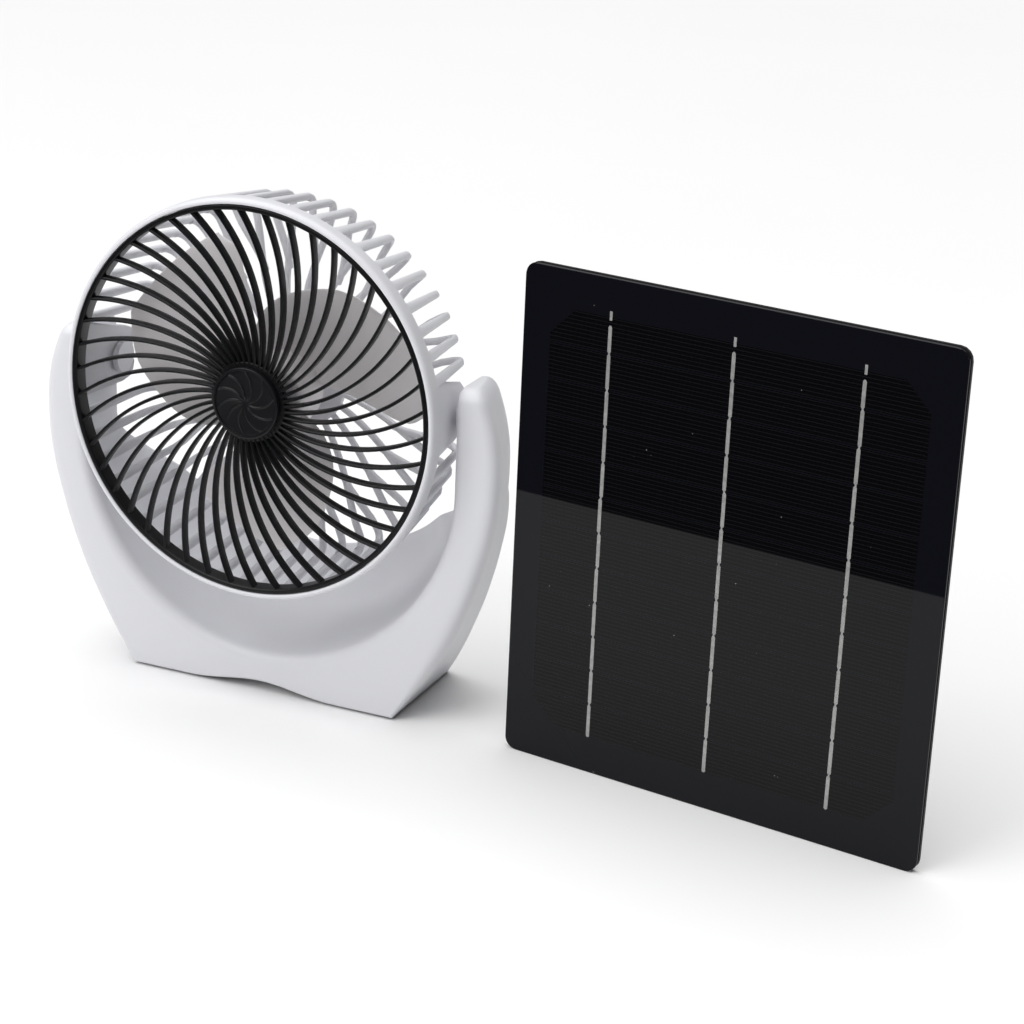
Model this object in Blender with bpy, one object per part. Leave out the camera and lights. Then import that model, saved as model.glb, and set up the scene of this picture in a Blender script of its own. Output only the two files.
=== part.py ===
"""Table fan with a swirl grille and tilting head, and the solar panel that powers it.

Metres, +Z up, and the fan's front faces -Y.
"""

import math

import bmesh
import bpy
import numpy as np

MM = 0.001

# Where the two assemblies stand, in mm
FAN_AT = (-93.4, -16.2, 0.0)
PANEL_AT = (106.95, -34.85, 0.0)
PANEL_YAW = -9.18

# Head: its axis runs along Y through (0, HEAD_Z)
HEAD_Z = 130.4
FRONT_Y = -19.35
PIVOT_Y = 12.0
BAND_R = 82.5
BAND_IN_R = 80.0
BAND_BACK_Y = -12.35
RING_R = 79.7
RING_IN_R = 77.7
RIB_COUNT = 46
RIB_WIDTH = 1.5
RIB_DEPTH = 4.2
RIB_PHASE = 6.34
RIB_SWIRL = 0.44
HUB_R = 16.5
CAP_R = 14.6
ROD_COUNT = 50
ROD_PHASE = 6.5
ROD_BACK_Y = 26.6
REAR_PLATE_R = 22.0

# Impeller and motor
BLADE_COUNT = 3
BLADE_TIP_R = 66.0
BLADE_THICK = 1.6
SPINNER_R = 18.0
MOTOR_R = 12.2
SHAFT_R = 1.0

# Stand
SCOOP_R = 84.5
SCOOP_Z = 101.5
SCOOP_BALL_R = 85.7
SCOOP_BALL_Y = -19.0
STAND_FRONT = -4.6
ARM_DEPTH = 24.0
RIM_DEPTH = 50.0
RIM_POWER = 1.45
FOOT_DEPTH = 66.0
FLOOR_GAP = 1.0
WALL = 2.4
BOWL_WALL = 3.2
ARCH = 3.6
ARCH_HALF = 34.0
PIN_R = 4.0
PIN_BORE_R = 4.06
OUTLINE_Z = (0.0, 12.0, 24.0, 37.0, 54.6, 73.3, 88.0, 98.0, 110.0, 122.0, 131.0, 138.0, 143.0, 147.0)
OUTLINE_X = (60.2, 68.2, 76.0, 83.4, 90.9, 97.0, 100.6, 102.0, 102.75, 101.9, 99.9, 97.4, 95.0, 92.6)
TIPS = ((146.0, 0.5), (145.7, 0.7), (144.8, 0.86), (143.2, 0.96), (140.6, 1.0))
HOLLOW_TIPS = ((139.8, 0.4), (139.0, 0.8), (137.0, 1.0))
COVER_Z = 5.0
POSTS = ((-40.0, 16.0, 29.6), (40.0, 16.0, 29.6), (-34.0, 42.0, 45.4), (34.0, 42.0, 45.4))
FEET = ((-46.0, 10.0), (46.0, 10.0), (-38.0, 51.0), (38.0, 51.0))
CONTROL_Z = 23.0
CONTROL_Y = 60.4
BUTTON_X = -14.0
INLET_X = 14.0
LENS_X = 0.0

# Panel
PANEL_W = 180.0
PANEL_H = 201.4
PANEL_CORNER = 5.0
BOARD_THICK = 1.4
COVER_THICK = 0.8
GAP = 0.3
CELL_W = 156.0
CELL_PITCH = 14.3
CELL_COUNT = 12
CELL_GAP = 0.6
CELL_CORNER = 10.5
RIBBON_PITCH = 52.0
RIBBON_W = 1.6


def clear_scene():
    for obj in list(bpy.data.objects):
        bpy.data.objects.remove(obj, do_unlink=True)


def material(name, color, roughness, metallic=0.0):
    made = bpy.data.materials.new(name)
    made.use_nodes = True
    shader = made.node_tree.nodes["Principled BSDF"]
    shader.inputs["Base Color"].default_value = (*color, 1.0)
    shader.inputs["Roughness"].default_value = roughness
    shader.inputs["Metallic"].default_value = metallic
    return made


def empty(name, location, parent=None, yaw=0.0):
    made = bpy.data.objects.new(name, None)
    bpy.context.scene.collection.objects.link(made)
    made.parent = parent
    made.location = [value * MM for value in location]
    made.rotation_euler = (0.0, 0.0, math.radians(yaw))
    return made


def mesh_object(name, points, faces, group, origin=(0.0, 0.0, 0.0)):
    """A closed mesh given in its assembly's millimetres, placed with its origin at the group's empty."""
    mesh = bpy.data.meshes.new(name)
    local = (np.asarray(points, float) - np.asarray(origin)) * MM
    mesh.from_pydata(local.tolist(), [], [list(face) for face in faces])
    work = bmesh.new()
    work.from_mesh(mesh)
    bmesh.ops.recalc_face_normals(work, faces=work.faces)
    work.to_mesh(mesh)
    work.free()
    made = bpy.data.objects.new(name, mesh)
    bpy.context.scene.collection.objects.link(made)
    made.parent = group
    return made


def node(name, shape, group, origin, color, roughness, metallic=0.0, smooth=None):
    points, faces = shape
    made = mesh_object(name, points, faces, group, origin)
    made.data.materials.append(material(name, color, roughness, metallic))
    if smooth:
        made.data.shade_smooth()
        made.data.set_sharp_from_angle(angle=math.radians(smooth))
    return made


def combine(target, shape, operation, group, origin=(0.0, 0.0, 0.0)):
    """Unites a shape with the target, or cuts it out of it."""
    points, faces = shape
    tool = mesh_object(target.name + "_" + operation.lower(), points, faces, group, origin)
    tool.hide_render = True
    tool.display_type = "WIRE"
    change = target.modifiers.new(operation.title(), "BOOLEAN")
    change.operation = operation
    change.object = tool
    change.solver = "EXACT"


def merged(shapes):
    """Several separate shells as one list of points and faces."""
    points = []
    faces = []
    for more_points, more_faces in shapes:
        start = len(points)
        points.extend(more_points)
        faces.extend([[index + start for index in face] for face in more_faces])
    return points, faces


def lathe(profile, steps, centre=(0.0, 0.0, 0.0), axis="Y"):
    """Turns a closed outline of (radius, height) about an axis; a zero radius becomes a pole."""
    points = []
    rings = []
    for radius, height in profile:
        count = 1 if radius < 1e-6 else steps
        rings.append(range(len(points), len(points) + count))
        for step in range(count):
            turn = 2 * math.pi * step / steps
            across, up = radius * math.cos(turn), radius * math.sin(turn)
            spot = {"X": (height, across, up), "Y": (across, height, up), "Z": (across, up, height)}[axis]
            points.append([spot[i] + centre[i] for i in range(3)])
    faces = []
    for first, second in zip(rings, rings[1:] + rings[:1]):
        if len(first) == 1 and len(second) == 1:
            continue
        for step in range(steps):
            after = (step + 1) % steps
            face = [first[step % len(first)], second[step % len(second)]]
            face += [second[after % len(second)], first[after % len(first)]]
            faces.append(list(dict.fromkeys(face)))
    return points, faces


def sweep(rings):
    """Skins a row of equal rings of points and caps both ends."""
    size = len(rings[0])
    points = [list(point) for ring in rings for point in ring]
    faces = [list(range(size)), list(range(len(points) - size, len(points)))]
    for row in range(len(rings) - 1):
        for i in range(size):
            j = (i + 1) % size
            faces.append([row * size + i, row * size + j, (row + 1) * size + j, (row + 1) * size + i])
    return points, faces


def box(low, high):
    corners = [(low[0], low[1]), (high[0], low[1]), (high[0], high[1]), (low[0], high[1])]
    return sweep([[(x, y, z) for x, y in corners] for z in (low[2], high[2])])


def rounded_plate(width, height, corner, y0, y1, z0=0.0, steps=5):
    """A plate standing in the XZ plane with rounded corners, from y0 to y1."""
    ring = []
    for turn, cx, cz in ((0, 1, 1), (1, -1, 1), (2, -1, -1), (3, 1, -1)):
        for step in range(steps):
            angle = math.radians(90 * (turn + step / (steps - 1)))
            x = cx * (width / 2 - corner) + corner * math.cos(angle)
            z = z0 + height / 2 + cz * (height / 2 - corner) + corner * math.sin(angle)
            ring.append((x, z))
    return sweep([[(x, y, z) for x, z in ring] for y in (y0, y1)])


def tube(r_in, r_out, h0, h1, steps, centre=(0.0, 0.0, 0.0), axis="Y"):
    return lathe([(r_in, h0), (r_out, h0), (r_out, h1), (r_in, h1)], steps, centre, axis)


def rod(radius, h0, h1, steps, centre=(0.0, 0.0, 0.0), axis="Y"):
    return lathe([(0.0, h0), (radius, h0), (radius, h1), (0.0, h1)], steps, centre, axis)


def polar(radius, angle, y):
    turn = math.radians(angle)
    return np.array([radius * math.cos(turn), y, HEAD_Z + radius * math.sin(turn)])


def strip(centres, widths, depths, up=(0.0, 1.0, 0.0)):
    """A rectangular bar along a row of centres; depth runs along each station's own normal."""
    centres = np.asarray(centres, float)
    along = np.gradient(centres, axis=0)
    rings = []
    for centre, forward, width, depth in zip(centres, along, widths, depths):
        outward = centre - np.array([0.0, centre[1], HEAD_Z])
        side = np.cross(forward, up if abs(forward[1]) < np.linalg.norm(forward) * 0.8 else outward)
        side = side / np.linalg.norm(side) * width / 2
        deep = np.cross(side, forward)
        deep = deep / np.linalg.norm(deep) * depth / 2
        rings.append([centre + side + deep, centre - side + deep, centre - side - deep, centre + side - deep])
    return sweep(rings)


# --- Front grille -------------------------------------------------------------------------


def rib_angle(radius, rim_angle):
    return rim_angle - RIB_SWIRL * (77.0 - radius) - 0.0012 * max(0.0, 50.0 - radius) ** 2


def rib_front(radius):
    return FRONT_Y + 0.35 + 1.9 * (78.0 - radius) / 63.0


def grille_rib(rim_angle):
    centres = []
    for radius in (14.95, 25.0, 36.0, 50.0, 64.0, 78.6):
        centres.append(polar(radius, rib_angle(radius, rim_angle), rib_front(radius) + RIB_DEPTH / 2))
    return strip(centres, [RIB_WIDTH] * 6, [RIB_DEPTH] * 6)


def front_grille(group, origin):
    profile = [(RING_IN_R, FRONT_Y + 0.5), (RING_IN_R + 0.5, FRONT_Y), (RING_R, FRONT_Y + 0.1)]
    profile += [(RING_R, BAND_BACK_Y), (RING_IN_R, BAND_BACK_Y)]
    ring = lathe(profile, 2 * RIB_COUNT, (0.0, 0.0, HEAD_Z))
    hub = lathe([(0.0, -16.9), (HUB_R, -16.9), (HUB_R, -13.4), (0.0, -13.4)], RIB_COUNT, (0.0, 0.0, HEAD_Z))
    grille = node("front_grille", merged([ring, hub]), group, origin, (0.012, 0.012, 0.014), 0.35, smooth=35)
    ribs = [grille_rib(RIB_PHASE + 360.0 * k / RIB_COUNT) for k in range(RIB_COUNT)]
    combine(grille, merged(ribs), "UNION", group, origin)


def hub_cap(group, origin):
    profile = [(0.0, -17.4), (CAP_R, -17.4), (CAP_R, -19.2), (CAP_R - 0.3, -19.5)]
    profile += [(CAP_R - 0.9, -19.2), (0.0, -19.5)]
    shape = lathe(profile, 40, (0.0, 0.0, HEAD_Z))
    node("hub_cap", shape, group, origin, (0.015, 0.015, 0.018), 0.28, smooth=30)


# --- Rear housing -------------------------------------------------------------------------


def rear_rod(angle, full):
    """One bar of the cage: back from the band, round the corner and in over the back."""
    pair = 360.0 / ROD_COUNT
    path = [(81.2, 0.0, -14.0), (77.2, 0.0, 18.0), (75.6, 0.0, 24.4), (71.5, 0.1, ROD_BACK_Y)]
    path += [(60.0, 0.15, ROD_BACK_Y), (44.0, 0.5, ROD_BACK_Y)]
    widths = [4.4, 3.3, 3.0, 2.8, 2.7, 2.4]
    depths = [2.2, 3.0, 2.8, 2.6, 2.6, 2.6]
    if full:
        path += [(20.0, 1.2, ROD_BACK_Y)]
        widths += [2.2]
        depths += [2.5]
    else:
        path[-1] = (46.0, -0.5, ROD_BACK_Y - 0.07)
        depths[-1] = 2.2
    centres = [polar(radius, angle + turn * pair, y) for radius, turn, y in path]
    return strip(centres, widths, depths)


def rod_angles(first):
    """The cage bars' angles, leaving out those where a tilt pad stands."""
    angles = [ROD_PHASE + 360.0 * k / ROD_COUNT for k in range(first, ROD_COUNT, 2)]
    return [angle for angle in angles if abs((angle + 90.0) % 180.0 - 90.0) > 11.0]


def rear_housing(group, origin):
    band = [(BAND_IN_R, FRONT_Y + 0.4), (81.0, FRONT_Y - 0.2), (82.1, FRONT_Y + 0.5), (BAND_R, FRONT_Y + 1.8)]
    band += [(BAND_R, BAND_BACK_Y), (BAND_IN_R, BAND_BACK_Y)]
    plate = [(0.0, 28.2), (REAR_PLATE_R, 28.2), (REAR_PLATE_R, 24.6), (14.6, 24.6), (14.6, 14.6)]
    plate += [(12.6, 14.6), (12.6, 24.6), (0.0, 24.6)]
    axis = (0.0, 0.0, HEAD_Z)
    shape = merged([lathe(band, 2 * ROD_COUNT, axis), lathe(plate, 32, axis)])
    housing = node("rear_housing", shape, group, origin, (0.78, 0.78, 0.8), 0.42, smooth=40)
    combine(housing, merged([rear_rod(angle, True) for angle in rod_angles(0)]), "UNION", group, origin)
    combine(housing, merged([rear_rod(angle, False) for angle in rod_angles(1)]), "UNION", group, origin)
    pads = []
    for side in (-1, 1):
        outline = [(-12.0, 16.4), (10.0, 13.4), (16.0, 12.0), (20.0, 8.0)]
        outline += [(20.0, -7.0), (16.0, -10.6), (-12.0, -10.6)]
        pads.append(sweep([[(side * x, y, HEAD_Z + z) for y, z in outline] for x in (76.2, 81.4)]))
        low, high = sorted((side * 80.1, side * 81.4))
        pads.append(box((low, -14.5, HEAD_Z - 10.6), (high, -11.0, HEAD_Z + 10.6)))
    combine(housing, merged(pads[::2]), "UNION", group, origin)
    combine(housing, merged(pads[1::2]), "UNION", group, origin)
    holes = [rod(PIN_R + GAP, side * 74.0, side * 84.0, 24, (0.0, PIVOT_Y, HEAD_Z), "X") for side in (-1, 1)]
    holes += [rod(1.7, 23.0, 30.0, 12, (x, 0.0, HEAD_Z)) for x in (-8.0, 8.0)]
    combine(housing, merged(holes), "DIFFERENCE", group, origin)


# --- Motor and impeller -------------------------------------------------------------------


def motor(group, origin):
    axis = (0.0, 0.0, HEAD_Z)
    can = [(1.3, 5.0), (MOTOR_R, 5.0), (MOTOR_R, 20.6), (11.2, 20.6), (11.2, 6.2), (1.3, 6.2)]
    node("motor_can", lathe(can, 28, axis), group, origin, (0.62, 0.62, 0.6), 0.3, 1.0, smooth=35)
    cap = [(1.3, 20.9), (MOTOR_R, 20.9), (MOTOR_R, 24.2), (1.3, 24.2)]
    node("motor_end_cap", lathe(cap, 28, axis), group, origin, (0.03, 0.03, 0.03), 0.5, smooth=35)
    bush = [(SHAFT_R + 0.05, 2.2), (3.4, 2.2), (3.4, 4.7), (SHAFT_R + 0.05, 4.7)]
    node("motor_bushing", lathe(bush, 24, axis), group, origin, (0.72, 0.5, 0.2), 0.3, 1.0, smooth=35)
    for number, x in enumerate((-8.0, 8.0), 1):
        screw = [(0.0, 24.5), (1.4, 24.5), (1.4, 28.5), (2.7, 28.5)]
        screw += [(2.5, 30.0), (0.8, 30.2), (0.0, 29.4)]
        shape = lathe(screw, 14, (x, 0.0, HEAD_Z))
        node(f"motor_screw_{number}", shape, group, origin, (0.6, 0.6, 0.6), 0.3, 1.0, smooth=35)


def blade(angle):
    """A wide curved blade: its trailing edge is forward, its leading edge back."""
    radii = (17.0, 26.0, 36.0, 47.0, 57.0, 63.5, BLADE_TIP_R)
    trail = np.interp(radii, (17, 34, 40, 50, 60, 66), (106, 91, 83, 67, 52, 40))
    lead = np.interp(radii, (17, 36, 57, 66), (6, -3, -8, -5))
    rings = []
    for radius, high, low in zip(radii, trail, lead):
        front = []
        back = []
        for share in np.linspace(0.0, 1.0, 7):
            turn = high + (low - high) * share + angle
            y = -4.0 + 17.0 * share + 3.0 * math.sin(math.pi * share)
            thick = BLADE_THICK / 2 * (0.55 + 0.45 * math.sin(math.pi * share))
            front.append(polar(radius, turn, y - thick))
            back.append(polar(radius, turn, y + thick))
        rings.append(front + back[::-1])
    return sweep(rings)


def impeller(group, origin):
    axis = (0.0, 0.0, HEAD_Z)
    cup = [(1.3, -8.0), (4.0, -8.0), (4.0, -10.6), (13.0, -10.6), (SPINNER_R, -7.0), (SPINNER_R, 14.0)]
    cup += [(SPINNER_R - 2.0, 14.0), (SPINNER_R - 2.0, -6.2), (4.0, -8.0 + 1.2), (4.0, 0.0), (1.3, 0.0)]
    made = node("impeller", lathe(cup, 32, axis), group, origin, (0.8, 0.78, 0.79), 0.4, smooth=35)
    blades = merged([blade(360.0 * k / BLADE_COUNT) for k in range(BLADE_COUNT)])
    combine(made, blades, "UNION", group, origin)
    shaft = rod(SHAFT_R, -9.4, 19.6, 16, axis)
    node("motor_shaft", shaft, group, origin, (0.7, 0.7, 0.7), 0.2, 1.0, smooth=35)
    core = [(1.3, 8.0), (10.2, 8.0), (10.2, 18.6), (1.3, 18.6)]
    node("motor_rotor", lathe(core, 28, axis), group, origin, (0.5, 0.25, 0.12), 0.4, 1.0, smooth=35)
    nut = [(0.0, -10.3), (3.0, -10.3), (3.0, -12.0), (0.0, -12.6)]
    node("impeller_cap", lathe(nut, 20, axis), group, origin, (0.8, 0.78, 0.79), 0.4, smooth=35)


def tilt_pin(side, group, origin):
    axis = (0.0, PIVOT_Y, HEAD_Z)
    name = "right" if side > 0 else "left"
    profile = [(0.0, 73.4), (6.5, 73.4), (6.5, 75.8), (PIN_R, 75.8), (PIN_R, 92.6), (0.0, 92.6)]
    shape = lathe([(radius, side * x) for radius, x in profile], 32, axis, "X")
    node(f"tilt_pin_{name}", shape, group, origin, (0.78, 0.78, 0.8), 0.42, smooth=35)
    washer = tube(PIN_R + GAP, 9.0, side * 81.8, side * 84.15, 20, axis, "X")
    node(f"tilt_washer_{name}", washer, group, origin, (0.78, 0.78, 0.8), 0.42, smooth=35)
    clip = tube(PIN_R + GAP, 6.2, side * 88.9, side * 90.4, 20, axis, "X")
    node(f"tilt_clip_{name}", clip, group, origin, (0.5, 0.5, 0.5), 0.35, 1.0, smooth=35)


# --- Stand --------------------------------------------------------------------------------


def smooth_step(value):
    value = min(1.0, max(0.0, value))
    return value * value * (3.0 - 2.0 * value)


def outline_x(z):
    return float(np.interp(z, OUTLINE_Z, OUTLINE_X))


def scoop_radius(direction, y):
    """Distance from the scoop's centre line to its surface at depth y: a ball low down, a tube above."""
    low = math.sqrt(max(1.0, SCOOP_BALL_R**2 - (y - SCOOP_BALL_Y) ** 2))
    drop = max(0.0, -direction[1])
    side = SCOOP_R + (min(SCOOP_R, low) - SCOOP_R) * smooth_step(drop / 0.4)
    return 1.0 / math.hypot(direction[0] / side, drop / low)


def rim_depth(drop):
    """Depth of the scoop's back edge where its direction points down by this much, 0 to 1."""
    return ARM_DEPTH + (RIM_DEPTH - ARM_DEPTH) * (1.0 - (1.0 - drop) ** RIM_POWER) * smooth_step(5.0 * drop)


def corner(before, spot, after, radius, count):
    """Points that round one corner of an outline."""
    before, spot, after = (np.asarray(point, float) for point in (before, spot, after))
    start = spot + (before - spot) * min(0.5, radius / np.linalg.norm(before - spot))
    end = spot + (after - spot) * min(0.5, radius / np.linalg.norm(after - spot))
    shares = np.linspace(0.0, 1.0, count)[:, None]
    return list((1 - shares) ** 2 * start + 2 * shares * (1 - shares) * spot + shares**2 * end)


def stand_section(centre_z, direction, reach, floor, inset, scale=1.0):
    """One cut across the stand, as (distance along the direction, y), turned into points.

    inset 0 gives the outside; above 0 it gives the hollow, a wall thickness further in.
    """
    face = STAND_FRONT + inset
    height = SCOOP_Z + reach * direction[1]
    rim = rim_depth(min(1.0, abs(direction[1]))) - inset
    x = abs(reach * direction[0])
    if floor:
        depth = FOOT_DEPTH - 12.0 * (x / OUTLINE_X[0]) ** 3
    else:
        depth = ARM_DEPTH + 30.0 * max(0.0, 1.0 - height / SCOOP_Z) ** 0.8
    depth -= inset
    bowl = BOWL_WALL if inset else 0.0
    taper = 0.0 if floor else 5.0 * smooth_step(height / 40.0)
    round_back = 2.5 if floor else 3.0 + 11.0 * smooth_step(height / 60.0)
    round_front = 1.5 if floor else 1.5 + 6.0 * smooth_step(height / 40.0)
    outer = reach - inset
    front_outer = outer
    if floor and inset:
        outer = front_outer = reach + 6.0
    elif floor and x < ARCH_HALF:
        front_outer = outer - ARCH * math.cos(math.pi / 2 * x / ARCH_HALF) ** 2
    inner = [scoop_radius(direction, y) + bowl for y in (face, rim)]
    lip = (inner[0], face)
    edge = (inner[1], rim)
    back = (outer - 0.7 * taper, depth)
    front = (front_outer + 0.3 * taper, face)
    first = (scoop_radius(direction, STAND_FRONT + 8.0) + bowl, STAND_FRONT + 8.0)
    last = (scoop_radius(direction, rim - 6.0) + bowl, rim - 6.0)
    fine = 0 if inset else 1
    outline = corner(front, lip, first, 2.6, 2 + fine)
    for share in (0.5,) if inset else (0.25, 0.5, 0.75):
        y = face + 3.0 + (rim - 6.0 - face) * share
        outline.append(np.array([scoop_radius(direction, y) + bowl, y]))
    outline += corner(last, edge, back, 1.6, 2 + fine)
    outline += corner(edge, back, front, max(1.0, round_back - inset), 3 + 2 * fine)
    outline += corner(back, front, lip, max(1.0, round_front - inset), 3 + fine)
    outline = np.array(outline)
    middle = outline.mean(axis=0)
    outline = middle + (outline - middle) * scale
    return [(s * direction[0], y, centre_z + s * direction[1]) for s, y in outline]


def stand_half(inset):
    """Sections from the right arm's tip down to the middle of the floor."""
    sections = []
    for z, scale in HOLLOW_TIPS if inset else TIPS:
        sections.append(stand_section(z, (1.0, 0.0), outline_x(z), False, inset, scale))
    for z in (134.0, 121.0, 110.0, SCOOP_Z):
        sections.append(stand_section(z, (1.0, 0.0), outline_x(z), False, inset))
    floor_x = OUTLINE_X[0] + 0.6
    for z in (90.0, 77.0, 63.0, 49.0, 36.0, 24.0, 14.0, 6.0, FLOOR_GAP):
        spot = np.array([outline_x(z), z - SCOOP_Z])
        reach = float(np.linalg.norm(spot))
        sections.append(stand_section(SCOOP_Z, spot / reach, reach, False, inset))
    for x in (58.0, 46.0, 34.0, 23.0, 12.0):
        spot = np.array([min(x, floor_x), FLOOR_GAP - SCOOP_Z])
        reach = float(np.linalg.norm(spot))
        sections.append(stand_section(SCOOP_Z, spot / reach, reach, True, inset))
    return sections


def stand_shape(inset):
    right = stand_half(inset)
    middle = stand_section(SCOOP_Z, (0.0, -1.0), SCOOP_Z - FLOOR_GAP, True, inset)
    left = [[(-x, y, z) for x, y, z in section] for section in right[::-1]]
    return sweep(right + [middle] + left)


def base_shell(group, origin):
    shell = node("base_shell", stand_shape(0.0), group, origin, (0.78, 0.78, 0.8), 0.45, smooth=40)
    combine(shell, stand_shape(WALL), "DIFFERENCE", group, origin)
    posts = [rod(4.0, COVER_Z + 3.2, top, 16, (x, y, 0.0), "Z") for x, y, top in POSTS]
    combine(shell, merged(posts), "UNION", group, origin)
    cuts = [rod(1.7, COVER_Z, COVER_Z + 14.6, 12, (x, y, 0.0), "Z") for x, y, _ in POSTS]
    cuts += [rod(PIN_BORE_R, side * 82.0, side * 90.0, 48, (0.0, PIVOT_Y, HEAD_Z), "X") for side in (-1, 1)]
    cuts.append(box((-30.3, CONTROL_Y - 9.8, CONTROL_Z - 10.3), (30.3, CONTROL_Y + 12.0, CONTROL_Z + 10.3)))
    combine(shell, merged(cuts), "DIFFERENCE", group, origin)


def bottom_cover(group, origin):
    half = [(60.0, -1.0), (59.4, 42.0), (52.6, 49.6), (45.6, 52.8), (30.0, 56.4), (12.0, 58.4)]
    outline = half + [(-x, y) for x, y in half[::-1]]
    plate = sweep([[(x, y, z) for x, y in outline] for z in (COVER_Z, COVER_Z + 2.4)])
    cover = node("bottom_cover", plate, group, origin, (0.7, 0.7, 0.72), 0.5)
    holes = [rod(1.9, COVER_Z - 1.0, COVER_Z + 4.0, 14, (x, y, 0.0), "Z") for x, y, _ in POSTS]
    combine(cover, merged(holes), "DIFFERENCE", group, origin)
    for number, (x, y, _) in enumerate(POSTS, 1):
        screw = [(0.0, -0.7), (1.0, -1.1), (3.0, -1.1), (3.0, -0.3), (1.5, -0.3), (1.5, 12.6), (0.0, 13.2)]
        shape = lathe(screw, 14, (x, y, COVER_Z), "Z")
        node(f"bottom_screw_{number}", shape, group, origin, (0.55, 0.55, 0.55), 0.3, 1.0, smooth=35)
    for number, (x, y) in enumerate(FEET, 1):
        foot = [(0.0, 0.0), (4.6, 0.0), (5.2, 0.4), (5.2, COVER_Z - GAP), (0.0, COVER_Z - GAP)]
        shape = lathe(foot, 20, (x, y, 0.0), "Z")
        node(f"rubber_foot_{number}", shape, group, origin, (0.02, 0.02, 0.02), 0.8, smooth=35)


def controls(group, origin):
    y, z = CONTROL_Y, CONTROL_Z
    plate = box((-30.0, y - 2.0, z - 10.0), (30.0, y, z + 10.0))
    made = node("control_plate", plate, group, origin, (0.7, 0.7, 0.72), 0.5)
    holes = [rod(5.3, y - 3.0, y + 2.0, 24, (BUTTON_X, 0.0, z))]
    holes.append(rod(1.8, y - 3.0, y + 2.0, 14, (LENS_X, 0.0, z)))
    holes.append(box((INLET_X - 4.8, y - 3.0, z - 2.0), (INLET_X + 4.8, y + 2.0, z + 2.0)))
    combine(made, merged(holes), "DIFFERENCE", group, origin)
    board = box((-28.0, y - 12.8, z - 9.0), (28.0, y - 11.2, z + 9.0))
    node("control_board", board, group, origin, (0.02, 0.18, 0.07), 0.5)
    switch = box((BUTTON_X - 3.0, y - 10.9, z - 3.0), (BUTTON_X + 3.0, y - 6.2, z + 3.0))
    node("speed_switch", switch, group, origin, (0.04, 0.04, 0.04), 0.5)
    lens = [(0.0, y - 4.2), (1.5, y - 4.2), (1.5, y + 0.2), (0.0, y + 0.6)]
    node("status_lens", lathe(lens, 14, (LENS_X, 0.0, z)), group, origin, (0.5, 0.75, 0.9), 0.15, smooth=35)
    shell = box((INLET_X - 4.5, y - 9.2, z - 1.7), (INLET_X + 4.5, y + 0.4, z + 1.7))
    inlet = node("inlet_shell", shell, group, origin, (0.65, 0.65, 0.66), 0.25, 1.0)
    mouth = box((INLET_X - 4.15, y - 8.2, z - 1.35), (INLET_X + 4.15, y + 2.0, z + 1.35))
    combine(inlet, mouth, "DIFFERENCE", group, origin)
    tongue = box((INLET_X - 3.3, y - 7.9, z - 0.35), (INLET_X + 3.3, y - 0.8, z + 0.35))
    node("inlet_tongue", tongue, group, origin, (0.03, 0.03, 0.03), 0.5)


def speed_button(group, origin):
    profile = [(0.0, -5.3), (6.4, -5.3), (6.4, -2.8), (5.0, -2.8), (5.0, 2.2), (4.5, 2.8), (0.0, 3.1)]
    shape = lathe(profile, 28, (BUTTON_X, CONTROL_Y, CONTROL_Z))
    node("speed_button", shape, group, origin, (0.75, 0.75, 0.77), 0.4, smooth=35)


# --- Solar panel --------------------------------------------------------------------------


def cell_strip(index, y0, y1):
    """One cut strip of a cell; the end strips have the wafer's clipped corners."""
    low = (PANEL_H - CELL_COUNT * CELL_PITCH) / 2 + index * CELL_PITCH + CELL_GAP / 2
    high = low + CELL_PITCH - CELL_GAP
    half = CELL_W / 2
    ring = [(-half, low), (half, low), (half, high), (-half, high)]
    if index == 0:
        ring = [(-half + CELL_CORNER, low), (half - CELL_CORNER, low), (half, low + CELL_CORNER)]
        ring += [(half, high), (-half, high), (-half, low + CELL_CORNER)]
    if index == CELL_COUNT - 1:
        ring = [(-half, low), (half, low), (half, high - CELL_CORNER), (half - CELL_CORNER, high)]
        ring += [(-half + CELL_CORNER, high), (-half, high - CELL_CORNER)]
    return sweep([[(x, y, z) for x, z in ring] for y in (y0, y1)])


def panel(group):
    origin = (0.0, 0.0, 0.0)
    cell_y = COVER_THICK + GAP + 0.2 + GAP
    board_y = cell_y + 0.25 + GAP
    cover = rounded_plate(PANEL_W, PANEL_H, PANEL_CORNER, 0.0, COVER_THICK)
    node("panel_cover", cover, group, origin, (0.02, 0.02, 0.025), 0.08)
    for index in range(CELL_COUNT):
        shape = cell_strip(index, cell_y, cell_y + 0.25)
        node(f"cell_strip_{index + 1:02d}", shape, group, origin, (0.012, 0.012, 0.02), 0.3)
    top = PANEL_H - 18.2
    for number in range(3):
        x = (number - 1) * RIBBON_PITCH
        y0 = COVER_THICK + GAP
        ribbon = box((x - RIBBON_W / 2, y0, 12.4), (x + RIBBON_W / 2, y0 + 0.2, top))
        node(f"ribbon_{number + 1}", ribbon, group, origin, (0.5, 0.5, 0.48), 0.4, 1.0)
        tab = box((x - RIBBON_W / 2, y0, top + 2.2), (x + RIBBON_W / 2, y0 + 0.2, PANEL_H - 12.8))
        node(f"ribbon_tab_{number + 1}", tab, group, origin, (0.5, 0.5, 0.48), 0.4, 1.0)
    board = rounded_plate(PANEL_W, PANEL_H, PANEL_CORNER, board_y, board_y + BOARD_THICK)
    node("panel_board", board, group, origin, (0.02, 0.02, 0.024), 0.5)
    junction_box(group, origin, board_y + BOARD_THICK + GAP)


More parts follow.
